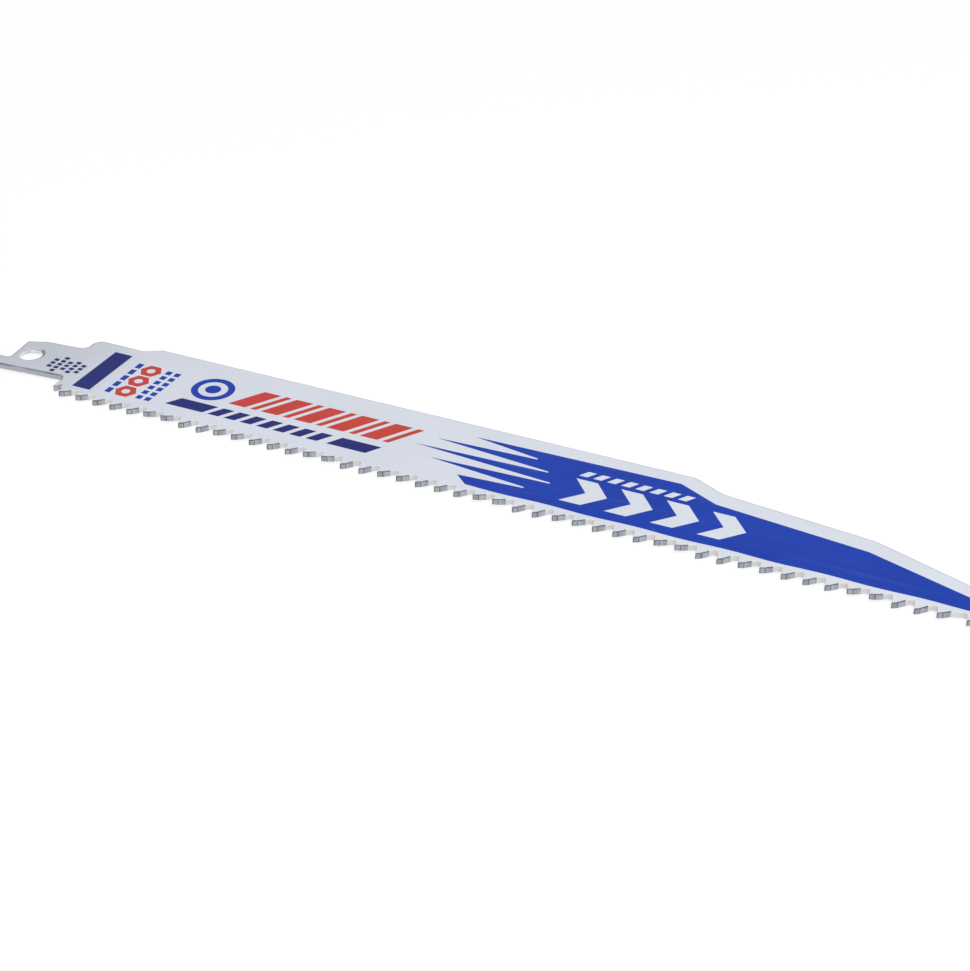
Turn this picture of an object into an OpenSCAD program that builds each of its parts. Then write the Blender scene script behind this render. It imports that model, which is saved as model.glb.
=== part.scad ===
// Reciprocating saw blade: one flat steel strip with a stepped tang, set teeth and a printed face.
// X runs from the tang to the nose, Y from the tooth points to the back and Z up.
// The origin is the centre of the tang hole, on the lower face of the strip.

/* [Strip] */
// Length from the end of the tail to the nose, before the corners are rounded
blade_l = 228.6; // [215:0.1:305]
// Width from the tooth points to the back
blade_w = 25.4; // [24:0.1:28]
// Thickness of the steel
blade_t = 1.27; // [0.8:0.01:1.6]

/* [Tang] */
// Width of the tang across its two long edges
tang_w = 12.7; // [12:0.1:13.4]
// Tilt of the tang against the line of the tooth points
tang_tilt = 4.5; // [0:0.5:6]
// Diameter of the hole for the clamp pin
hole_d = 5; // [4:0.1:6]
// Height of the hole above the tooth points
hole_to_points = 11.6; // [11:0.1:12.4]
// Distance from the hole to the first tooth point
hole_to_teeth = 15.25; // [14:0.05:17]
// Distance from the hole to the end shoulder of the tang
hole_to_shoulder = 3.6; // [3.4:0.1:5]
// Distance from the hole to the end of the narrow tail
hole_to_tail = 12; // [9:0.1:16]
// Width of the narrow tail
tail_w = 3.6; // [3:0.1:4.2]
// Distance from the end shoulder over which the upper edge of the tang slopes
tang_slope_l = 4.4; // [2:0.1:6]
// Drop of that slope
tang_slope_h = 1.3; // [0.4:0.1:2]

/* [Body] */
// Setback of the heel behind the first tooth point
heel_back = 2.65; // [2.2:0.05:3.2]
// Height of the heel above the tooth points
heel_low = 1.6; // [1.2:0.05:2.2]
// Width of the flat foot of the heel
heel_w = 0.7; // [0.5:0.05:0.9]
// Radius of the corners of that foot
heel_r = 0.3; // [0.1:0.05:0.4]
// Setback of the back shoulder behind the first tooth point
shoulder_back = 5.75; // [4.5:0.05:7]
// Height of the low step at the root of the back
step_h = 2.1; // [1:0.1:3]
// Distance from the first tooth point to the foot of the ramp on the step
step_end = 6.3; // [4:0.1:12]
// Length of that ramp
ramp_l = 3.5; // [2:0.1:8]

/* [Nose] */
// Length of the steep nose slope
nose_l = 28.2; // [24:0.1:34]
// Drop of the back along the nose slope
nose_h = 9.8; // [8:0.1:10.4]
// Length of the shallow slope before it
shallow_l = 32; // [20:0.1:40]
// Drop of the back along the shallow slope
shallow_h = 3.5; // [2:0.1:4]
// Length of the short step down where the back starts to narrow
drop_l = 7.2; // [5:0.1:12]
// Height of that short step
drop_h = 3.5; // [2:0.1:4]
// Lean of the front edge of the nose
nose_lean = 1.6; // [0.5:0.1:3]
// Height of the lower corner of the nose above the tooth points
nose_low = 2.3; // [2:0.1:3]

/* [Corners] */
// Radius of the corners of the tail
tail_r = 0.8; // [0.3:0.1:1.5]
// Radius of the end shoulder of the tang, at the tail and at its slope
end_r = 1; // [0.3:0.1:2]
// Radius where that slope runs out into the upper edge of the tang
slope_r = 4; // [1:0.5:6]
// Radius of the notch between the tang and the heel
heel_notch_r = 1.5; // [0.5:0.1:2]
// Radius of the notch between the tang and the back shoulder
shoulder_notch_r = 1.8; // [0.5:0.1:2.5]
// Radius of the top of the back shoulder
shoulder_r = 2; // [0.5:0.1:3]
// Radius at both ends of the ramp
ramp_r = 1; // [0.3:0.1:3]
// Radius where the back starts to narrow
back_r = 0.8; // [0.3:0.1:3]
// Radius at the foot of the short step down
drop_r = 5; // [1:0.5:8]
// Radius between the shallow and the steep slope
taper_r = 8; // [2:0.5:12]
// Radius of the upper corner of the nose
nose_top_r = 2.2; // [0.5:0.1:4]
// Radius of the lower corner of the nose
nose_low_r = 1; // [0.3:0.1:1.8]

/* [Teeth] */
// Teeth in each inch of the tooth line
teeth_per_inch = 6; // [5:1:7]
// Depth of the gullets under the tooth points
tooth_depth = 2.8; // [2.4:0.05:3]
// Lean of the cutting face towards the nose
rake = 10; // [0:1:14]
// Run of the steep land behind each tooth point
land_run = 0.95; // [0.6:0.05:1.1]
// Rise of that land
land_rise = 0.45; // [0.3:0.05:0.6]
// Run of the relief behind the land
relief_run = 1.25; // [0.8:0.05:1.3]
// Rise of that relief
relief_rise = 1.1; // [0.8:0.05:1.2]
// Radius at the root of the gullet
gullet_r = 0.6; // [0.4:0.05:0.65]
// Distance from the last regular tooth point to the nose
plain_nose = 10.85; // [9:0.05:16]
// Distance from the last regular tooth point to the single nose tooth
nose_gap = 5.5; // [4.8:0.1:6]
// Direction in which the arc of the root starts
root_from = 135; // [120:5:150]
// Height of the bend of a set tooth under the root of the gullet
bend_drop = 0.4; // [0.2:0.05:0.8]
// Sideways set of nine teeth in turn, up positive, which repeats along the blade
tooth_set = [0.05, 0.1, -0.15, -0.15, -0.2, 0.35, 0.45, -0.35, -0.4];

/* [Print] */
// Depth of the ink, which lies flush in the upper face
ink_t = 0.05; // [0.03:0.01:0.1]
// Clear margin between the blue field and the back
field_margin = 3.5; // [2.5:0.1:5]
// Clear margin between the blue field and the shallow slope of the back
slope_margin = 4.3; // [3:0.1:5.5]
// Clear margin between the gullets and the blue field
tooth_margin = 0.45; // [0.3:0.05:1.5]
// Distance from the middle of the toothed length back to the points of the blue field
field_before_middle = 8.8; // [2:0.1:12]
// Height of the gentle wave along the lower edge of the blue field
wave_h = 0.15; // [0.05:0.05:0.3]
// Sideways lean of the slanted marks for each millimetre of height
slant = 0.6; // [0:0.05:0.8]

/* [Print marks] */
// Width of the plain bar beside the first tooth
bar_w = 4.4; // [3:0.1:5]
// Clear margin between that bar and the low step of the back
bar_margin = 3.1; // [2.5:0.1:5]
// Height of the wide row of marks above the tooth points
row_y = 11.2; // [10.2:0.1:12]
// Width of that row
row_h = 7.5; // [6:0.1:8.5]
// Height of the narrow row of marks above the tooth points
low_row_y = 5.5; // [4:0.1:6.4]
// Width of that row
low_row_h = 3.4; // [2:0.1:4]
// Width of the hexagons across their corners
hexagon_d = 5; // [4:0.1:5.5]
// Outer diameter of the ring
ring_d = 9.4; // [8:0.1:10]
// Width of the ring, and of the gap inside it
ring_w = 1.5; // [0.8:0.1:1.9]
// Distance from the first tooth point to the slanted pairs in the wide row
pairs_x = 35; // [35:0.5:38]
// Width of the wide bar of each pair
wide_bar = 4; // [3:0.1:5]
// Width of the thin bar of each pair
thin_bar = 1.4; // [0.8:0.1:2]
// Gap between the bars
bar_gap = 1.2; // [0.8:0.1:1.5]
// Distance from the points of the blue field to the first arrow mark
arrow_start = 21; // [18:0.5:24]
// Width of the arrow marks along the blade
arrow_w = 4.6; // [3:0.1:5]
// Gap between the arrow marks
arrow_gap = 5; // [3.8:0.1:6]
// Clear margin between the arrow marks and the lower edge of the blue field
arrow_margin = 2.75; // [1:0.05:3.5]
// Clear margin between the small marks and the upper edge of the blue field
tick_margin = 3.65; // [2.5:0.05:4.5]
// Clear margin between the slanted pairs and the longest point of the blue field
marks_gap = 3; // [2:0.1:6]

/* [Hidden] */
$fn = 48;
// Steps in each rounded corner of the outline
arc_steps = 8;
// Free height above and below the strip that the outline prism reaches
spare = 3;
// Free width that the cutters reach past the tooth points
clear = 1;

hole_at = [-hole_to_teeth, hole_to_points];

// A point of the tang, given along and across the tang from the hole
function tang(u, v) = hole_at + [
    u * cos(tang_tilt) - v * sin(tang_tilt),
    u * sin(tang_tilt) + v * cos(tang_tilt),
];

// The height of a long edge of the tang above the tooth points, where it passes x
function tang_edge_y(x, v) = tang(0, v)[1] + (x - tang(0, v)[0]) * tan(tang_tilt);

pitch = 25.4 / teeth_per_inch;
nose_x = blade_l + tang(-hole_to_tail, tail_w - tang_w / 2)[0];
last_tooth = floor((nose_x - plain_nose) / pitch);
last_x = last_tooth * pitch;
nose_tooth_x = last_x + nose_gap;
bend_y = tooth_depth - bend_drop;
step_y = blade_w - step_h;

// The back, as the corners where its slope changes
shallow_x = nose_x - nose_l;
drop_x = shallow_x - shallow_l;
taper_x = drop_x - drop_l;
drop_y = blade_w - drop_h;
shallow_y = drop_y - shallow_h;
nose_y = shallow_y - nose_h;

// Centre of the arc of a gullet, from the tooth point that follows it, where the cutting face is a tangent
gullet_y = tooth_depth - gullet_r;
gullet_x = -gullet_y * tan(rake) - gullet_r / cos(rake);

function unit(v) = v / norm(v);
function turn(a) = a > 180 ? a - 360 : a < -180 ? a + 360 : a;

// The points of an arc, from one angle to another
function arc(centre, r, from, to) =
    [for (k = [0 : arc_steps])
        let (a = from + (to - from) * k / arc_steps)
        centre + r * [cos(a), sin(a)]];

// The points of the arc that rounds corner b between a and c with radius r
function rounded_corner(a, b, c, r) =
    let (
        to_a = unit(a - b),
        to_c = unit(c - b),
        half = acos(to_a * to_c) / 2,
        limit = min(norm(a - b), norm(c - b)) * 0.48 * tan(half),
        radius = min(r, limit),
        centre = b + unit(to_a + to_c) * radius / sin(half),
        first = b + to_a * radius / tan(half) - centre,
        last = b + to_c * radius / tan(half) - centre,
        start = atan2(first[1], first[0]),
        sweep = turn(atan2(last[1], last[0]) - start)
    )
    arc(centre, radius, start, start + sweep);

// An outline whose corners are given as [x, y, radius], with each corner rounded
function rounded_outline(corners) =
    let (n = len(corners))
    [for (i = [0 : n - 1])
        let (
            a = corners[(i + n - 1) % n],
            b = corners[i],
            c = corners[(i + 1) % n]
        )
        each b[2] > 0
            ? rounded_corner([a[0], a[1]], [b[0], b[1]], [c[0], c[1]], b[2])
            : [[b[0], b[1]]]];

// The gullet before the tooth point at x: its round root, then the cutting face down to the point
function gullet(x) = [
    for (p = arc([x + gullet_x, gullet_y], gullet_r, root_from, rake)) [p[0], p[1], 0],
    [x, 0, 0],
];

// The back of the tooth whose point is at x: its steep land, then its relief
function tooth_back(x) = [
    [x + land_run, land_rise, 0],
    [x + land_run + relief_run, land_rise + relief_rise, 0],
];

// The corners of the toothed strip, from the tail along the teeth and round by the nose
strip_corners = [
    concat(tang(-hole_to_tail, -tang_w / 2), tail_r),
    [-heel_back, tang_edge_y(-heel_back, -tang_w / 2), heel_notch_r],
    [-heel_back, heel_low, heel_r],
    [-heel_back + heel_w, heel_low, heel_r],
    each gullet(0),
    for (i = [1 : last_tooth]) each concat(tooth_back((i - 1) * pitch), gullet(i * pitch)),
    each concat(tooth_back(last_x), gullet(nose_tooth_x), tooth_back(nose_tooth_x)),
    [nose_x, nose_low, nose_low_r],
    [nose_x - nose_lean, nose_y + nose_lean * nose_h / nose_l, nose_top_r],
    [shallow_x, shallow_y, taper_r],
    [drop_x, drop_y, drop_r],
    [taper_x, blade_w, back_r],
    [step_end + ramp_l, blade_w, ramp_r],
    [step_end, step_y, ramp_r],
    [-shoulder_back, step_y, shoulder_r],
    [-shoulder_back, tang_edge_y(-shoulder_back, tang_w / 2), shoulder_notch_r],
    concat(tang(tang_slope_l - hole_to_shoulder, tang_w / 2), slope_r),
    concat(tang(-hole_to_shoulder, tang_w / 2 - tang_slope_h), end_r / 2),
    concat(tang(-hole_to_shoulder, tail_w - tang_w / 2), end_r),
    concat(tang(-hole_to_tail, tail_w - tang_w / 2), tail_r),
];

// The thickness of one tooth, which leans from the bend down to its set. It starts and ends in the middle
// of the gullets beside the tooth, where nothing is left of the strip below the bend.
module tooth_layer(from, to, set) {
    foot = set * (bend_y + clear) / bend_y;
    start = from + gullet_x + gullet_r / 4;
    translate([start, 0, 0])
        rotate([90, 0, 90])
            linear_extrude(to + gullet_x - gullet_r / 4 - start)
                polygon([[bend_y, 0], [bend_y, blade_t], [-clear, blade_t + foot], [-clear, foot]]);
}

// The thickness of the strip all over: level in the body, and set tooth by tooth along the edge
module strip_layer() {
    start = -hole_to_teeth - hole_to_tail - clear;
    end = nose_x + clear;
    flat_nose = nose_tooth_x + gullet_x;
    translate([start, bend_y, 0]) cube([end - start, blade_w + clear, blade_t]);
    translate([start, -clear, 0]) cube([gullet_x - start, bend_y + clear, blade_t]);
    for (i = [0 : last_tooth - 1])
        tooth_layer(i * pitch, (i + 1) * pitch, tooth_set[i % len(tooth_set)]);
    tooth_layer(last_x, nose_tooth_x, tooth_set[last_tooth % len(tooth_set)]);
    translate([flat_nose, -clear, 0]) cube([end - flat_nose, bend_y + clear, blade_t]);
}

module blade() {
    color("gainsboro")
        translate([hole_to_teeth, -hole_to_points, 0])
            difference() {
                intersection() {
                    translate([0, 0, -spare])
                        linear_extrude(blade_t + 2 * spare) polygon(rounded_outline(strip_corners));
                    strip_layer();
                }
                translate([hole_at[0], hole_at[1], -clear]) cylinder(d = hole_d, h = blade_t + 2 * clear);
                translate([0, 0, blade_t - ink_t]) linear_extrude(ink_t + clear) {
                    blue_marks();
                    navy_marks();
                    red_marks();
                }
            }
}

// Lays a flat print flush in the upper face
module printed() {
    translate([hole_to_teeth, -hole_to_points, blade_t - ink_t]) linear_extrude(ink_t) children();
}

// A slanted bar with its lower left corner at the origin
module slanted_bar(w, h) {
    polygon([[0, 0], [w, 0], [w + h * slant, h], [h * slant, h]]);
}

// An arrow mark that points to the nose
module chevron(w, h, reach) {
    polygon([[0, 0], [w, 0], [w + reach, h / 2], [w, h], [0, h], [reach, h / 2]]);
}

// A column of short dashes, centred on its own height
module dash_column(w, dash, gap, count) {
    for (i = [0 : count - 1])
        translate([0, (i - (count - 1) / 2) * (dash + gap) - dash / 2]) square([w, dash]);
}

// The start of the blue field, and its points and the blunt slits between them as steps from there
field_start = nose_x / 2 - field_before_middle;
point_steps = [-1, -9, -14, -11, -4];
slit_steps = [13, 17, 15, 11];
slit_tip_w = 0.4;

// The small marks and the places of all marks along the tooth line
bar_x = 1;
bar_low = 0.7;
hexagon_x = 12.75;
hexagon_pitch = 4.9;
hexagon_hole_d = 1.9;
dash_w = 1.3;
dash_gap = 0.8;
long_dash = 2.1;
short_dash = 1.5;
ring_x = 29;
low_row_x = 23;
low_end_w = 9;
low_bar_w = 2.6;
low_bar_pitch = 3.9;
tick_w = 1.8;
tick_h = 2.1;
tang_print_x = -9.1;
tang_print_y = hole_to_points - 1.3;
tang_dashes = [3, 5, 3, 4, 3];
tang_dash_w = 1.1;
tang_dash_h = 1;
tang_dash_gap = 0.45;
tang_dash_pitch = 1.75;

// The edges of the blue field
low_edge_x = field_start + 2;
field_low = tooth_depth + tooth_margin;
field_top = blade_w - field_margin;
field_row = (field_top - field_low) / len(point_steps);
field_end_x = nose_x - field_margin;
field_end_y = nose_y + field_margin * (nose_h / nose_l - 1);
wave_l = 4.5 * pitch;

// The slanted pairs and the narrow row fill the room up to the field
pair_pitch = wide_bar + thin_bar + 2 * bar_gap;
marks_end = field_start + min(point_steps) - marks_gap;
pairs = floor((marks_end + bar_gap - pairs_x) / pair_pitch);
low_row_end = marks_end - row_h * slant;

// The arrows and the small marks over them lie between the edges of the field
arrow_x = field_start + arrow_start;
arrow_y = field_low + arrow_margin;
tick_y = field_top - tick_margin - tick_h;
arrow_h = tick_y - bar_gap - arrow_y;
arrow_reach = 0.43 * arrow_h;
ticks = floor((drop_x - drop_l / 2 - arrow_x) / (tick_w + bar_gap));

module blue_field() {
    corner_shift = (slope_margin - field_margin) * drop_l / drop_h;
    polygon(concat(
        [for (x = [low_edge_x : wave_l / 6 : field_end_x])
            [x, field_low + wave_h * cos(360 * (x - field_start) / wave_l)]],
        [
            [field_end_x, max(field_end_y, field_low + 2 * wave_h)],
            [shallow_x, shallow_y - slope_margin],
            [drop_x, drop_y - slope_margin],
            [taper_x - corner_shift, field_top],
        ],
        [for (i = [len(point_steps) - 1 : -1 : 0]) each [
            [field_start + point_steps[i], field_low + (i + 0.75) * field_row],
            if (i > 0) [field_start + slit_steps[i - 1], field_low + i * field_row + slit_tip_w],
            if (i > 0) [field_start + slit_steps[i - 1], field_low + i * field_row],
        ]]
    ));
}

module blue_marks() {
    difference() {
        blue_field();
        for (i = [0 : 3])
            translate([arrow_x + (arrow_w + arrow_gap) * i, arrow_y])
                chevron(arrow_w, arrow_h, arrow_reach);
        for (i = [0 : 1 : ticks - 1])
            translate([arrow_x + (tick_w + bar_gap) * i, tick_y]) slanted_bar(tick_w, tick_h);
    }
    translate([ring_x, row_y + row_h / 2]) {
        difference() {
            circle(d = ring_d);
            circle(d = ring_d - 2 * ring_w);
        }
        circle(d = ring_d - 4 * ring_w);
    }
    translate([hexagon_x - hexagon_d / 2 - dash_gap / 2 - dash_w, row_y])
        dash_column(dash_w, long_dash, dash_gap, 5);
    for (i = [0, 1])
        translate([hexagon_x + hexagon_d / 2 + dash_gap + (dash_w + dash_gap) * i, row_y])
            dash_column(dash_w, short_dash, dash_gap, 6);
}

module navy_marks() {
    low_last = low_row_end - low_end_w;
    translate([bar_x, tooth_depth + bar_low]) square([bar_w, step_y - bar_margin - tooth_depth - bar_low]);
    for (x = [low_row_x, low_last])
        translate([x, low_row_y]) slanted_bar(low_end_w, low_row_h);
    for (x = [low_row_x + low_end_w + low_bar_w / 2 : low_bar_pitch : low_last - low_bar_w])
        translate([x, low_row_y]) slanted_bar(low_bar_w, low_row_h);
    for (i = [0 : len(tang_dashes) - 1])
        translate([tang_print_x + tang_dash_pitch * i, tang_print_y])
            dash_column(tang_dash_w, tang_dash_h, tang_dash_gap, tang_dashes[i]);
}

module red_marks() {
    for (i = [-1 : 1]) translate([hexagon_x, row_y + hexagon_pitch * i]) difference() {
        circle(d = hexagon_d, $fn = 6);
        circle(d = hexagon_hole_d);
    }
    for (i = [0 : 1 : pairs - 1]) translate([pairs_x + pair_pitch * i, row_y]) {
        slanted_bar(wide_bar, row_h);
        translate([wide_bar + bar_gap, 0]) slanted_bar(thin_bar, row_h);
    }
}

module ink_blue() {
    color("royalblue") printed() blue_marks();
}

module ink_navy() {
    color("midnightblue") printed() navy_marks();
}

module ink_red() {
    color("firebrick") printed() red_marks();
}

blade();
ink_blue();
ink_navy();
ink_red();
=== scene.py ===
"""The looks of a reciprocating saw blade: satin painted steel, ground tooth backs and screen-printed ink."""
import math

import bmesh
import bpy
from bpy.props import FloatProperty, FloatVectorProperty, IntProperty, PointerProperty
from mathutils import Matrix, Vector
from mathutils.geometry import tessellate_polygon


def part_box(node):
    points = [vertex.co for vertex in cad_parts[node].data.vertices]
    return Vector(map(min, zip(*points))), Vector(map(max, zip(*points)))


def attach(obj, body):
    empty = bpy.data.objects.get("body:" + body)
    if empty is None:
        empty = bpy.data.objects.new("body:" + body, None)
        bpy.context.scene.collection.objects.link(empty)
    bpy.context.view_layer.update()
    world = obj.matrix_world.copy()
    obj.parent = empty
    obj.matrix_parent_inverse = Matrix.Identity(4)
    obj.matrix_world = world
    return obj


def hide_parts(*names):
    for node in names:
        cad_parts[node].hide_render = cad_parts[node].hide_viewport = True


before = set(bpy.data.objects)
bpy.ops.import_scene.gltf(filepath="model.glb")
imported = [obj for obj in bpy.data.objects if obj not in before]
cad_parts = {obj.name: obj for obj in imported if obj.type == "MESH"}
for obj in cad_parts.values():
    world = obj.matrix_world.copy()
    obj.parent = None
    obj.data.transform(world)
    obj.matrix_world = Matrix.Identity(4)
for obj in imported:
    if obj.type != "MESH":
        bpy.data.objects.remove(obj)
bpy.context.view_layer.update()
STRIP_LOW, STRIP_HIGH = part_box("blade")
INK_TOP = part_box("ink_blue")[1].z

bl_info = {
    "name": "Reciprocating Saw Blade",
    "version": (1, 0, 0),
    "blender": (4, 5, 0),
    "location": "View3D > Sidebar > Saw Blade",
    "description": "Dresses a reciprocating saw blade in its paint, ground steel and print",
    "category": "Add Mesh",
}

MM = 0.001
PAINT, GULLET, EDGE, LAND, RELIEF, DARK_LINE, WORN_AND_SHADE, SHEARED = range(8)


def linear(hex_colour):
    """An sRGB hex colour as the linear values that shaders use."""
    values = [int(hex_colour[i:i + 2], 16) / 255 for i in (0, 2, 4)]
    return [v / 12.92 if v <= 0.04045 else ((v + 0.055) / 1.055) ** 2.4 for v in values] + [1.0]


def per_mm(size):
    """The scale of a texture whose pattern repeats every size millimetres, in object coordinates."""
    return 1 / (size * MM)


def add_node(tree, kind, sockets=None, **settings):
    """Adds a node, sets its settings, and sets or links its input sockets."""
    made = tree.nodes.new(kind)
    for key, value in settings.items():
        setattr(made, key, value)
    for key, value in (sockets or {}).items():
        if isinstance(value, bpy.types.NodeSocket):
            tree.links.new(value, made.inputs[key])
        else:
            made.inputs[key].default_value = value
    return made


def new_material(name):
    """An empty material, its node tree and its object coordinates."""
    material = bpy.data.materials.new(name)
    material.use_nodes = True
    tree = material.node_tree
    tree.nodes.clear()
    place = add_node(tree, "ShaderNodeTexCoord").outputs["Object"]
    return material, tree, place


def finish_material(tree, shader):
    """Sends a shader to the material's output."""
    add_node(tree, "ShaderNodeOutputMaterial", {"Surface": shader.outputs["BSDF"]})


class SAWBLADE_PG_strip(bpy.types.PropertyGroup):
    tang_rim: FloatVectorProperty(
        name="Tang rim", description="Width and depth of the pressed rim of the tang",
        size=2, default=(0.4 * MM, 0.2 * MM), min=0.05 * MM, max=0.5 * MM, precision=5, unit="LENGTH")
    back_rim: FloatVectorProperty(
        name="Back rim", description="Width and depth of the rounding of the back and the nose",
        size=2, default=(0.28 * MM, 0.2 * MM), min=0.05 * MM, max=0.5 * MM, precision=5, unit="LENGTH")
    tooth_rim: FloatVectorProperty(
        name="Tooth rim", description="Width and depth of the fine rounding of the teeth",
        size=2, default=(0.15 * MM, 0.14 * MM), min=0.03 * MM, max=0.2 * MM, precision=5, unit="LENGTH")
    hole_rim: FloatVectorProperty(
        name="Hole rim", description="Width and depth of the drawn edge of the clamp pin hole",
        size=2, default=(0.65 * MM, 0.42 * MM), min=0.1 * MM, max=0.8 * MM, precision=5, unit="LENGTH")
    gullet_depth: FloatProperty(
        name="Gullet depth", description="Depth to which the paint that gathers in the gullets leaves them open",
        default=2.3 * MM, min=2 * MM, max=2.8 * MM, precision=5, unit="LENGTH")
    rim_steps: IntProperty(
        name="Rim steps", description="Faces across each rounded edge", default=4, min=2, max=8)
    ink_height: FloatProperty(
        name="Ink height", description="Height by which the ink stands out of the paint",
        default=0.012 * MM, min=0.005 * MM, max=0.03 * MM, precision=6, unit="LENGTH")
    paint: FloatVectorProperty(
        name="Paint", description="Colour of the paint on both faces",
        subtype="COLOR", size=4, default=linear("D4D9E4"))
    # Painted shade: how dark the paint gets towards the tang, standing in for the light that falls off there.
    tang_painted_shade: FloatProperty(
        name="Tang shade", description="Brightness of the thin paint at the tang beside that of the body",
        default=0.8, min=0.5, max=1, subtype="FACTOR")
    gullet: FloatVectorProperty(
        name="Gullets", description="Colour of the paint that gathers in the gullets",
        subtype="COLOR", size=4, default=linear("D9DAD9"))
    # Painted shade: the sheared edges get a darker copy of the face paint, which stands in for the shade on them.
    edge: FloatVectorProperty(
        name="Edges", description="Colour of the thin paint on the sheared edges",
        subtype="COLOR", size=4, default=linear("ADB1B7"))
    land: FloatVectorProperty(
        name="Land", description="Colour of the finely ground land behind each tooth point",
        subtype="COLOR", size=4, default=linear("A4A8AF"))
    relief: FloatVectorProperty(
        name="Relief", description="Colour of the milled relief behind the land",
        subtype="COLOR", size=4, default=linear("ADB1B9"))
    # Dark lines drawn in darker steel at the tooth points, between land and relief, and along the rims of the teeth.
    dark_line: FloatVectorProperty(
        name="Burr", description="Colour of the dark lines at the tooth points and between land and relief",
        subtype="COLOR", size=4, default=linear("6C7179"))
    # The darker rims are partly wear and partly painted shade. On the nose side of the hole's rim they are painted
    # shade.
    worn_and_shade: FloatVectorProperty(
        name="Worn edge", description="Colour of the steel that shows along the rounded edges",
        subtype="COLOR", size=4, default=linear("70767D"))
    sheared: FloatVectorProperty(
        name="Hole wall", description="Colour of the bright punched wall of the hole",
        subtype="COLOR", size=4, default=linear("F2EFF4"))


class SAWBLADE_PG_print(bpy.types.PropertyGroup):
    blue: FloatVectorProperty(
        name="Blue", description="Colour of the blue field and marks",
        subtype="COLOR", size=4, default=linear("0C39A8"))
    navy: FloatVectorProperty(
        name="Navy", description="Colour of the plain bar and the narrow row",
        subtype="COLOR", size=4, default=linear("1C2672"))
    red: FloatVectorProperty(
        name="Red", description="Colour of the hexagons and slanted pairs",
        subtype="COLOR", size=4, default=linear("C43E33"))


class SAWBLADE_PG_stage(bpy.types.PropertyGroup):
    lens: FloatProperty(
        name="Lens", description="Focal length of the camera on a sensor 36 mm wide",
        default=84.13, min=20, max=200, unit="CAMERA")
    camera_at: FloatVectorProperty(
        name="Camera", description="Place of the camera",
        subtype="TRANSLATION", size=3, default=(0.27811, -0.35103, 0.23382))
    key_watts: FloatProperty(
        name="Overhead lamp", description="Power of the soft box over the nose", default=6.4, min=0, unit="POWER")
    sky: FloatProperty(
        name="Room light", description="Level of the light from all round", default=0.6, min=0, max=1)


def walk_loops(edges):
    """Turns edges that form closed rings into lists of vertices in order, the same on each run."""
    left = set(edges)
    loops = []
    for edge in edges:
        if edge not in left:
            continue
        left.discard(edge)
        start, here = edge.verts
        loop = [start]
        while here is not start:
            loop.append(here)
            edge = next(e for e in here.link_edges if e in left)
            left.discard(edge)
            here = edge.other_vert(here)
        loops.append(loop)
    return loops


def signed_area(points):
    return sum(a.x * b.y - b.x * a.y for a, b in zip(points, points[1:] + points[:1])) / 2


def from_tail(ring):
    """The ring from its point nearest the end of the tail, which is level, so that no leaning tooth is split."""
    start = min(range(len(ring)), key=lambda i: (round(ring[i].x / MM, 3), ring[i].y))
    return ring[start:] + ring[:start]


def lower_outlines(mesh):
    """The outer outline and the hole of the strip's lower face, with the metal on the left of both."""
    bm = bmesh.new()
    bm.from_mesh(mesh)
    bmesh.ops.remove_doubles(bm, verts=bm.verts, dist=1e-6)
    bm.normal_update()
    lower = {f for f in bm.faces if f.normal.z < -0.7}
    rings = walk_loops([e for e in bm.edges if sum(f in lower for f in e.link_faces) == 1])
    rings = sorted(([v.co.copy() for v in ring] for ring in rings), key=lambda r: -abs(signed_area(r)))
    bm.free()
    if len(rings) != 2:
        raise RuntimeError(f"the lower face has {len(rings)} outlines, not an outer one and a hole")
    outer, hole = rings
    if signed_area(outer) < 0:
        outer.reverse()
    if signed_area(hole) > 0:
        hole.reverse()
    return from_tail(outer), from_tail(hole)


def wall_normals(ring):
    """The outward normal of the wall after each point of a ring."""
    normals = []
    for a, b in zip(ring, ring[1:] + ring[:1]):
        along = (b - a).to_2d().normalized()
        normals.append(Vector((along.y, -along.x)))
    return normals


RELIEF_TOP = 1.56 * MM
TOOTH_ZONE = 3.2 * MM


def fill_gullets(points, tip_y, first_x, depth):
    """Lifts the roots of the gullets, which paint fills, to a depth under the tooth points."""
    zone = [p for p in points if RELIEF_TOP < p.y - tip_y < TOOTH_ZONE and p.x > first_x - 1 * MM]
    root = max(p.y - tip_y for p in zone if p.y - tip_y < 2.9 * MM)
    for p in zone:
        p.y = tip_y + RELIEF_TOP + (p.y - tip_y - RELIEF_TOP) * (depth - RELIEF_TOP) / (root - RELIEF_TOP)


def mark_teeth(points, tip_y, first_x):
    """Adds a point just behind each tooth point and behind each land, and gives the finish of every wall."""
    line, land_top = 0.2 * MM, 0.5 * MM
    marked, finishes = [], []
    for a, b in zip(points, points[1:] + points[:1]):
        along = (b - a).to_2d().normalized()
        high = max(a.y, b.y) - tip_y
        backward = along.x > 0.6 and along.y > 0.3
        if a.x < first_x - 1 * MM or high > TOOTH_ZONE:
            finish = EDGE
        elif backward and high < land_top:
            finish = LAND
        elif backward and high < RELIEF_TOP and (b - a).length > 1 * MM:
            finish = RELIEF
        else:
            finish = GULLET
        marked.append(a)
        if finish in (LAND, RELIEF):
            finishes.append(DARK_LINE)
            marked.append(a.lerp(b, line / (b - a).length))
        finishes.append(finish)
    return marked, finishes


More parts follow.
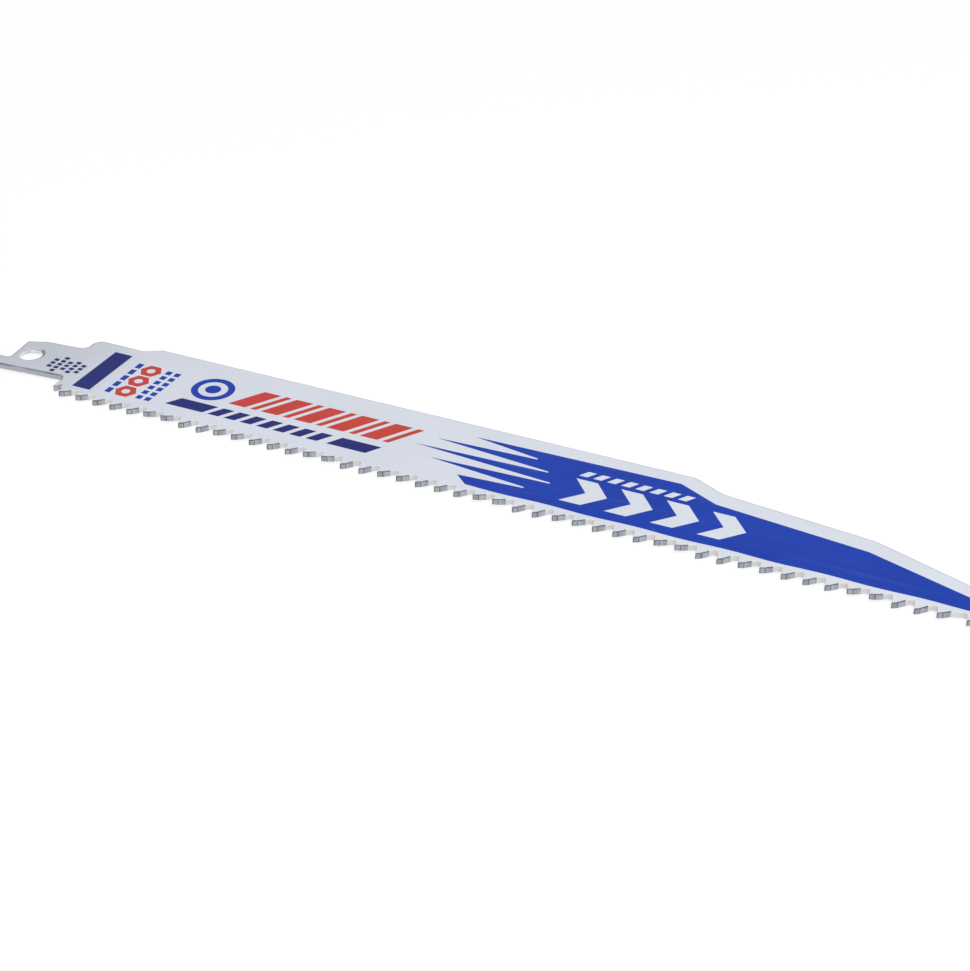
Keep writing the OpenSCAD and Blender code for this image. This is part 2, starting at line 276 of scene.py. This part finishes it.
class StripRing:
    """One outline of the strip, with the lean of the set teeth, from which every row of points is made."""

    def __init__(self, points):
        self.points = points
        self.walls = wall_normals(points)
        self.count = len(points)
        self.bend_y = 0.0
        self.bends, self.leans = self.find_leans()

    def find_leans(self):
        """Marks the points where a set tooth bends, and gives each point of a tooth its rise for each metre."""
        level = [abs(p.z) < 1e-7 for p in self.points]
        bends = [level[i] and not (level[i - 1] and level[(i + 1) % self.count]) for i in range(self.count)]
        leans = [0.0] * self.count
        i = 0
        while i < self.count:
            if level[i]:
                i += 1
                continue
            run = [i]
            while not level[(run[-1] + 1) % self.count]:
                run.append(run[-1] + 1)
            bend = self.points[i - 1]
            tip = min((self.points[k] for k in run), key=lambda p: p.y)
            for k in run:
                leans[k] = (tip.z - bend.z) / (tip.y - bend.y)
            for k in run:
                self.points[k].z = leans[k] * (self.points[k].y - bend.y)
            self.bend_y = bend.y
            i = run[-1] + 1
        return bends, leans

    def row(self, inset_of, height_of):
        """The points moved into the metal by an inset each, at a height each over the lower face."""
        row = []
        for i, point in enumerate(self.points):
            inset, height = inset_of(i), height_of(i)
            before, after = self.walls[i - 1], self.walls[i]
            if self.bends[i]:
                wall = before if abs(before.x) > abs(after.x) else after
                move = Vector((-inset / wall.x, 0))
            else:
                move = -(before + after) * inset / (1 + before.dot(after))
            if self.leans[i]:
                move.y = min(move.y, self.bend_y - 0.004 * MM - point.y)
            row.append(Vector((
                point.x + move.x, point.y + move.y, point.z + self.leans[i] * move.y + height)))
        return row


def smooth_walls(ring, finish_of, limit=math.radians(32)):
    """The normal at the start and the end of each wall, shared over the gentle corners within one finish."""
    starts, ends = [], []
    for i in range(ring.count):
        j = (i + 1) % ring.count
        here, before, after = ring.walls[i], ring.walls[i - 1], ring.walls[j]
        runs_in = here.angle(before) < limit and finish_of(i - 1) == finish_of(i)
        runs_on = here.angle(after) < limit and finish_of(j) == finish_of(i)
        starts.append((here + before).normalized() if runs_in else here)
        ends.append((here + after).normalized() if runs_on else here)
    return starts, ends


class StripMesh:
    """Collects the faces of the dressed strip with a normal for each corner and a finish for each face."""

    def __init__(self):
        self.points, self.faces, self.normals, self.finishes = [], [], [], []

    def add_row(self, row):
        first = len(self.points)
        self.points.extend(row)
        return list(range(first, len(self.points)))

    def add_face(self, corners, normals, finish):
        self.faces.append(corners)
        self.normals.extend(normals)
        self.finishes.append(finish)

    def make(self, name, materials):
        mesh = bpy.data.meshes.new(name)
        mesh.from_pydata(self.points, [], self.faces)
        mesh.shade_smooth()
        for material in materials:
            mesh.materials.append(material)
        mesh.polygons.foreach_set("material_index", self.finishes)
        mesh.normals_split_custom_set(self.normals)
        made = bpy.data.objects.new(name, mesh)
        bpy.context.scene.collection.objects.link(made)
        return made


def add_wall(strip, ring, rim_of, steps, bottom, top, wall_finish, rim_finish):
    """Adds the upright wall of a ring and its two rounded edges, and gives the rows next to the faces."""
    starts, ends = smooth_walls(ring, wall_finish)
    rows = []
    for side in (-1, 1):
        for k in range(steps + 1):
            turn = math.pi / 2 * (k / steps if side < 0 else 1 - k / steps)
            rows.append((side, math.cos(turn), math.sin(turn)))

    def place(side, up, out):
        level = bottom if side < 0 else top
        return strip.add_row(ring.row(
            lambda i: rim_of(i)[0] * (1 - out), lambda i: level - side * rim_of(i)[1] * (1 - up)))

    made = [place(*row) for row in rows]
    for k in range(len(rows) - 1):
        (side_a, up_a, out_a), (side_b, up_b, out_b) = rows[k], rows[k + 1]
        for i in range(ring.count):
            j = (i + 1) % ring.count
            s, e = starts[i], ends[i]
            wide, deep = rim_of(i)
            corners = [made[k][i], made[k][j], made[k + 1][j], made[k + 1][i]]
            normals = [
                (n.x * out * deep, n.y * out * deep, side * up * wide)
                for n, side, up, out in (
                    (s, side_a, up_a, out_a), (e, side_a, up_a, out_a), (e, side_b, up_b, out_b), (s, side_b, up_b, out_b))]
            strip.add_face(corners, [tuple(Vector(n).normalized()) for n in normals],
                           wall_finish(i) if k == steps else rim_finish(i))
    return made[0], made[-1]


def add_flat(strip, ring, row, hole_row, up):
    """Closes a face of the strip: the level body with its hole, and each leaning tooth below its bend."""
    body = [i for i in range(ring.count) if ring.leans[i] == 0]
    outline = [row[i] for i in body]
    loops = [[strip.points[k] for k in outline], [strip.points[k] for k in hole_row]]
    index = outline + hole_row
    triangles = [[index[k] for k in triangle] for triangle in tessellate_polygon(loops)]
    turned = up * sum(signed_area([strip.points[k] for k in triangle]) for triangle in triangles) < 0
    for triangle in triangles:
        strip.add_face(triangle[::-1] if turned else triangle, [(0, 0, up)] * 3, PAINT)
    i = 0
    while i < ring.count:
        if ring.leans[i] == 0:
            i += 1
            continue
        run = [i - 1, i]
        while ring.leans[run[-1] % ring.count] != 0:
            run.append(run[-1] + 1)
        lean = Vector((0, -ring.leans[i], 1)).normalized() * up
        corners = [row[k % ring.count] for k in run]
        normals = [(0, 0, up)] + [tuple(lean)] * (len(run) - 2) + [(0, 0, up)]
        if up < 0:
            corners, normals = corners[::-1], normals[::-1]
        strip.add_face(corners, normals, PAINT)
        i = run[-1]


def satin_paint(name, colour, rough, grain, tang_painted_shade):
    """Polyester paint, sprayed and baked: even and satin, with a faint orange peel that softens reflections,
    and with painted shade that darkens it smoothly towards the tang, where it stands in for the light falling off."""
    material, tree, place = new_material(name)
    cloud = add_node(tree, "ShaderNodeTexNoise", {"Vector": place, "Scale": per_mm(18), "Detail": 2.0})
    tint = add_node(tree, "ShaderNodeMapRange", {
        "Value": cloud.outputs["Fac"], "From Min": 0.3, "From Max": 0.7, "To Min": 0.975, "To Max": 1.02})
    along = add_node(tree, "ShaderNodeSeparateXYZ", {"Vector": place})
    # Painted shade: the paint darkens smoothly towards the tang.
    shaded = add_node(tree, "ShaderNodeMapRange", {
        "Value": along.outputs["X"], "From Min": -2 * MM, "From Max": 34 * MM, "To Min": tang_painted_shade, "To Max": 1.0},
        interpolation_type="SMOOTHSTEP")
    tint = add_node(tree, "ShaderNodeMath", {0: tint.outputs["Result"], 1: shaded.outputs["Result"]},
                    operation="MULTIPLY")
    shade = add_node(tree, "ShaderNodeHueSaturation", {"Value": tint.outputs["Value"], "Color": colour})
    gloss = add_node(tree, "ShaderNodeMapRange", {
        "Value": cloud.outputs["Fac"], "To Min": rough - 0.04, "To Max": rough + 0.05})
    peel = add_node(tree, "ShaderNodeTexNoise", {"Vector": place, "Scale": per_mm(grain), "Detail": 3.0})
    bump = add_node(tree, "ShaderNodeBump", {
        "Height": peel.outputs["Fac"], "Strength": 0.12, "Distance": 0.01 * MM})
    finish_material(tree, add_node(tree, "ShaderNodeBsdfPrincipled", {
        "Base Color": shade.outputs["Color"], "Roughness": gloss.outputs["Result"],
        "Normal": bump.outputs["Normal"], "IOR": 1.5}))
    return material


def ground_steel(name, colour):
    """Tool steel, ground or sheared across the strip: dull grey metal with fine lines through the thickness."""
    material, tree, place = new_material(name)
    # The tool's lines are about 0.05 mm apart on the blade, and are drawn at 0.3 mm so that they show.
    lines = add_node(tree, "ShaderNodeTexWave", {
        "Vector": place, "Scale": per_mm(0.3) / 20, "Distortion": 3.0, "Detail": 2.0, "Detail Scale": 1.5},
        bands_direction="X")
    tint = add_node(tree, "ShaderNodeMapRange", {
        "Value": lines.outputs["Fac"], "To Min": 0.86, "To Max": 1.12})
    shade = add_node(tree, "ShaderNodeHueSaturation", {"Value": tint.outputs["Result"], "Color": colour})
    bump = add_node(tree, "ShaderNodeBump", {
        "Height": lines.outputs["Fac"], "Strength": 0.3, "Distance": 0.01 * MM})
    finish_material(tree, add_node(tree, "ShaderNodeBsdfPrincipled", {
        "Base Color": shade.outputs["Color"], "Metallic": 1.0, "Roughness": 0.42,
        "Normal": bump.outputs["Normal"]}))
    return material


def worn_and_shaded_edge(name, steel, paint):
    """Rolled edge of the strip: a darker grey line with steel in patches, which is partly wear and partly painted
    shade. It also paints the shade on the nose side of the hole's rim.
    """
    material, tree, place = new_material(name)
    patches = add_node(tree, "ShaderNodeTexNoise", {"Vector": place, "Scale": per_mm(2.2), "Detail": 4.0})
    share = add_node(tree, "ShaderNodeMapRange", {
        "Value": patches.outputs["Fac"], "From Min": 0.35, "From Max": 0.7, "To Min": 0.0, "To Max": 0.55})
    shade = add_node(tree, "ShaderNodeMix", {
        "Factor": share.outputs["Result"], "A": steel, "B": paint}, data_type="RGBA")
    finish_material(tree, add_node(tree, "ShaderNodeBsdfPrincipled", {
        "Base Color": shade.outputs["Result"], "Metallic": 0.3, "Roughness": 0.45}))
    return material


def screen_ink(name, colour, rough):
    """Ultraviolet-cured screen ink: an opaque satin film with the faint grid of the screen and small specks."""
    material, tree, place = new_material(name)
    cloud = add_node(tree, "ShaderNodeTexNoise", {"Vector": place, "Scale": per_mm(14), "Detail": 3.0})
    tint = add_node(tree, "ShaderNodeMapRange", {
        "Value": cloud.outputs["Fac"], "From Min": 0.3, "From Max": 0.7, "To Min": 0.95, "To Max": 1.06})
    shade = add_node(tree, "ShaderNodeHueSaturation", {"Value": tint.outputs["Result"], "Color": colour})
    gloss = add_node(tree, "ShaderNodeMapRange", {
        "Value": cloud.outputs["Fac"], "To Min": rough - 0.06, "To Max": rough + 0.06})
    # Specks of about 0.3 mm, where dust kept the ink off, are rare and let some of the pale paint show.
    specks = add_node(tree, "ShaderNodeTexVoronoi", {"Vector": place, "Scale": per_mm(5.5)})
    bare = add_node(tree, "ShaderNodeMapRange", {
        "Value": specks.outputs["Distance"], "From Min": 0.022, "From Max": 0.04, "To Min": 0.4, "To Max": 0.0})
    shade = add_node(tree, "ShaderNodeMix", {
        "Factor": bare.outputs["Result"], "A": shade.outputs["Color"], "B": linear("AEB9DC")}, data_type="RGBA")
    # Faint scuffs from packing, about 1.5 mm wide and 50 mm long, run along the blade.
    stretched = add_node(tree, "ShaderNodeMapping", {"Vector": place, "Scale": (per_mm(50), per_mm(1.5), 1.0)})
    scuffs = add_node(tree, "ShaderNodeTexNoise", {"Vector": stretched.outputs["Vector"], "Scale": 1.0, "Detail": 3.0})
    rubbed = add_node(tree, "ShaderNodeMapRange", {
        "Value": scuffs.outputs["Fac"], "From Min": 0.55, "From Max": 0.8, "To Min": 0.0, "To Max": 0.05})
    shade = add_node(tree, "ShaderNodeMix", {
        "Factor": rubbed.outputs["Result"], "A": shade.outputs["Result"], "B": linear("AEB9DC")}, data_type="RGBA")
    # The threads of the screen are 0.1 mm apart.
    grid = add_node(tree, "ShaderNodeTexVoronoi", {"Vector": place, "Scale": per_mm(0.1), "Randomness": 0.3})
    bump = add_node(tree, "ShaderNodeBump", {
        "Height": grid.outputs["Distance"], "Strength": 0.08, "Distance": 0.005 * MM})
    finish_material(tree, add_node(tree, "ShaderNodeBsdfPrincipled", {
        "Base Color": shade.outputs["Result"], "Roughness": gloss.outputs["Result"],
        "Normal": bump.outputs["Normal"], "IOR": 1.48, "Specular IOR Level": 0.35}))
    return material


class SAWBLADE_OT_strip(bpy.types.Operator):
    """Make the painted strip with its rounded edges, set teeth and ground tooth backs"""
    bl_idname = "sawblade.strip"
    bl_label = "Painted strip"
    bl_options = {"REGISTER", "UNDO"}

    def execute(self, context):
        look = context.scene.sawblade_strip
        outer_points, hole_points = lower_outlines(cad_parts["blade"].data)
        tip_y = min(p.y for p in outer_points)
        first_x = min(p.x for p in outer_points if p.y < tip_y + 0.01 * MM)
        fill_gullets(outer_points, tip_y, first_x, look.gullet_depth)
        marked, finishes = mark_teeth(outer_points, tip_y, first_x)
        outer, hole = StripRing(marked), StripRing(hole_points)
        top = INK_TOP - look.ink_height

        def outer_rim(i):
            point = outer.points[i]
            if point.x < first_x - 3 * MM:
                return look.tang_rim
            return look.tooth_rim if point.y < tip_y + TOOTH_ZONE else look.back_rim

        def outer_rim_finish(i):
            # The rims of the back and the tang get the darker line, which is partly painted shade. The rims of the
            # teeth get the dark steel lines.
            return {GULLET: GULLET, EDGE: WORN_AND_SHADE}.get(finishes[i], DARK_LINE)

        def hole_rim_painted_shade(i):
            """Paints the drawn rim of the hole darker on its nose side, with the material of the darker rims: painted
            shade.
            """
            return WORN_AND_SHADE if hole.walls[i].x < -0.4 else PAINT

        strip = StripMesh()
        low, high = add_wall(
            strip, outer, outer_rim, look.rim_steps, 0, top, lambda i: finishes[i % outer.count], outer_rim_finish)
        hole_low, hole_high = add_wall(
            strip, hole, lambda i: look.hole_rim, look.rim_steps + 2, 0, top, lambda i: SHEARED, hole_rim_painted_shade)
        add_flat(strip, outer, high, hole_high, 1)
        add_flat(strip, outer, low, hole_low, -1)
        made = strip.make("blade_strip", [
            satin_paint("satin_polyester_paint", look.paint, 0.4, 0.35, look.tang_painted_shade),
            satin_paint("gathered_gullet_paint", look.gullet, 0.42, 0.3, 1.0),
            # The sheared edges get the face paint darker: painted shade.
            satin_paint("edge_paint_with_painted_shade", look.edge, 0.45, 0.3, 1.0),
            ground_steel("ground_land_steel", look.land),
            ground_steel("milled_relief_steel", look.relief),
            ground_steel("dark_line_steel", look.dark_line),
            worn_and_shaded_edge("worn_and_shaded_rim", look.worn_and_shade, look.paint),
            ground_steel("sheared_hole_steel", look.sheared),
        ])
        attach(made, "root")
        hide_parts("blade")
        return {"FINISHED"}


class SAWBLADE_OT_print(bpy.types.Operator):
    """Give the printed fields and marks their three inks"""
    bl_idname = "sawblade.print_inks"
    bl_label = "Printed inks"
    bl_options = {"REGISTER", "UNDO"}

    def execute(self, context):
        look = context.scene.sawblade_print
        inks = {
            "ink_blue": screen_ink("blue_screen_ink", look.blue, 0.38),
            "ink_navy": screen_ink("navy_screen_ink", look.navy, 0.4),
            "ink_red": screen_ink("red_screen_ink", look.red, 0.4),
        }
        for node, ink in inks.items():
            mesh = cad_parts[node].data
            if not mesh.materials:
                mesh.materials.append(ink)
            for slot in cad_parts[node].material_slots:
                slot.material = ink
        return {"FINISHED"}


class SAWBLADE_OT_stage(bpy.types.Operator):
    """Set up the white floor, the soft light and the camera"""
    bl_idname = "sawblade.stage"
    bl_label = "Stage"
    bl_options = {"REGISTER", "UNDO"}

    def execute(self, context):
        look = context.scene.sawblade_stage
        self.make_floor()
        self.make_ceiling()
        self.make_light(context, look)
        self.make_camera(context, look)
        context.scene.view_settings.view_transform = "Standard"
        return {"FINISHED"}

    def make_floor(self):
        """White paper, of which the camera sees a plain white that still keeps a faint shadow."""
        mesh = bpy.data.meshes.new("white_floor")
        half, level = 3.0, STRIP_LOW.z - 0.02 * MM
        corners = [(-half, -half, level), (half, -half, level), (half, half, level), (-half, half, level)]
        mesh.from_pydata(corners, [], [(0, 1, 2, 3)])
        floor = bpy.data.objects.new("white_floor", mesh)
        bpy.context.scene.collection.objects.link(floor)
        material, tree, _ = new_material("white_paper")
        path = add_node(tree, "ShaderNodeLightPath")
        seen = add_node(tree, "ShaderNodeMath", {0: path.outputs["Is Camera Ray"], 1: path.outputs["Is Glossy Ray"]},
                        operation="MAXIMUM")
        seen = add_node(tree, "ShaderNodeMath", {0: seen.outputs[0], 1: path.outputs["Is Transmission Ray"]},
                        operation="MAXIMUM")
        share = add_node(tree, "ShaderNodeMath", {0: seen.outputs[0], 1: 0.8}, operation="MULTIPLY")
        paper = add_node(tree, "ShaderNodeBsdfDiffuse", {"Color": linear("F4F4F4")})
        glow = add_node(tree, "ShaderNodeEmission", {"Color": (1, 1, 1, 1), "Strength": 1.03})
        mix = add_node(tree, "ShaderNodeMixShader", {
            0: share.outputs[0], 1: paper.outputs["BSDF"], 2: glow.outputs["Emission"]})
        add_node(tree, "ShaderNodeOutputMaterial", {"Surface": mix.outputs["Shader"]})
        mesh.materials.append(material)

    def make_ceiling(self):
        """Dark studio ceiling that only reflections see, so that paint and ink keep their depth."""
        mesh = bpy.data.meshes.new("dark_ceiling")
        half, level = 3.0, 1.3
        mesh.from_pydata(
            [(-half, -half, level), (half, -half, level), (half, half, level), (-half, half, level)], [], [(3, 2, 1, 0)])
        ceiling = bpy.data.objects.new("dark_ceiling", mesh)
        bpy.context.scene.collection.objects.link(ceiling)
        material, tree, _ = new_material("matt_grey_ceiling_board")
        board = add_node(tree, "ShaderNodeBsdfDiffuse", {"Color": linear("2A2A2C")})
        finish_material(tree, board)
        mesh.materials.append(material)
        ceiling.visible_camera = ceiling.visible_diffuse = ceiling.visible_shadow = False
        ceiling.visible_transmission = False

    def make_light(self, context, look):
        """A soft box high over the nose and an even white room."""
        lamp = bpy.data.lights.new("soft_box", "AREA")
        lamp.shape = "RECTANGLE"
        lamp.size, lamp.size_y = 0.6, 0.5
        lamp.energy = look.key_watts
        box = bpy.data.objects.new("soft_box", lamp)
        middle = (STRIP_LOW + STRIP_HIGH) / 2
        box.location = middle + Vector((0.4, -0.3, 0.9))
        box.rotation_euler = (middle - box.location).to_track_quat("-Z", "Y").to_euler()
        context.scene.collection.objects.link(box)
        world = bpy.data.worlds.new("white_room")
        world.use_nodes = True
        tree = world.node_tree
        tree.nodes.clear()
        path = add_node(tree, "ShaderNodeLightPath")
        seen = add_node(tree, "ShaderNodeMath", {0: path.outputs["Is Camera Ray"], 1: path.outputs["Is Glossy Ray"]},
                        operation="MAXIMUM")
        seen = add_node(tree, "ShaderNodeMath", {0: seen.outputs[0], 1: path.outputs["Is Transmission Ray"]},
                        operation="MAXIMUM")
        level = add_node(tree, "ShaderNodeMapRange", {"Value": seen.outputs[0], "To Min": look.sky, "To Max": 1.0})
        back = add_node(tree, "ShaderNodeBackground", {"Color": (1, 1, 1, 1), "Strength": level.outputs["Result"]})
        add_node(tree, "ShaderNodeOutputWorld", {"Surface": back.outputs["Background"]})
        context.scene.world = world

    def make_camera(self, context, look):
        """The camera of the photograph: 31 degrees above the face and turned 26 degrees to the nose."""
        data = bpy.data.cameras.new("camera")
        data.lens, data.sensor_width, data.sensor_fit = look.lens, 36, "HORIZONTAL"
        data.clip_start = 0.01
        data.shift_x, data.shift_y = -0.5 / 970, 0.5 / 970
        camera = bpy.data.objects.new("camera", data)
        turn, rise = math.radians(25.611), math.radians(31.375)
        right = Vector((math.cos(turn), math.sin(turn), 0))
        ahead = Vector((-math.sin(turn) * math.cos(rise), math.cos(turn) * math.cos(rise), -math.sin(rise)))
        camera.matrix_world = Matrix.Translation(look.camera_at) @ Matrix(
            (right, right.cross(ahead), -ahead)).transposed().to_4x4()
        context.scene.collection.objects.link(camera)
        context.scene.camera = camera


class SAWBLADE_PT_panel(bpy.types.Panel):
    """The sizes and colours of the saw blade, and the buttons that make it"""
    bl_idname = "SAWBLADE_PT_panel"
    bl_label = "Saw Blade"
    bl_space_type = "VIEW_3D"
    bl_region_type = "UI"
    bl_category = "Saw Blade"

    def draw(self, context):
        for operator, group in (
                ("sawblade.strip", context.scene.sawblade_strip),
                ("sawblade.print_inks", context.scene.sawblade_print),
                ("sawblade.stage", context.scene.sawblade_stage)):
            box = self.layout.box()
            for name in group.__annotations__:
                box.prop(group, name)
            box.operator(operator)


GROUPS = {
    "sawblade_strip": SAWBLADE_PG_strip,
    "sawblade_print": SAWBLADE_PG_print,
    "sawblade_stage": SAWBLADE_PG_stage,
}
CLASSES = (*GROUPS.values(), SAWBLADE_OT_strip, SAWBLADE_OT_print, SAWBLADE_OT_stage, SAWBLADE_PT_panel)


def register():
    for made in CLASSES:
        bpy.utils.register_class(made)
    for name, group in GROUPS.items():
        setattr(bpy.types.Scene, name, PointerProperty(type=group))


def unregister():
    for name in GROUPS:
        delattr(bpy.types.Scene, name)
    for made in reversed(CLASSES):
        bpy.utils.unregister_class(made)


def main():
    register()
    bpy.ops.sawblade.strip()
    bpy.ops.sawblade.print_inks()
    bpy.ops.sawblade.stage()
    bpy.context.view_layer.update()


if __name__ == "__main__":
    main()
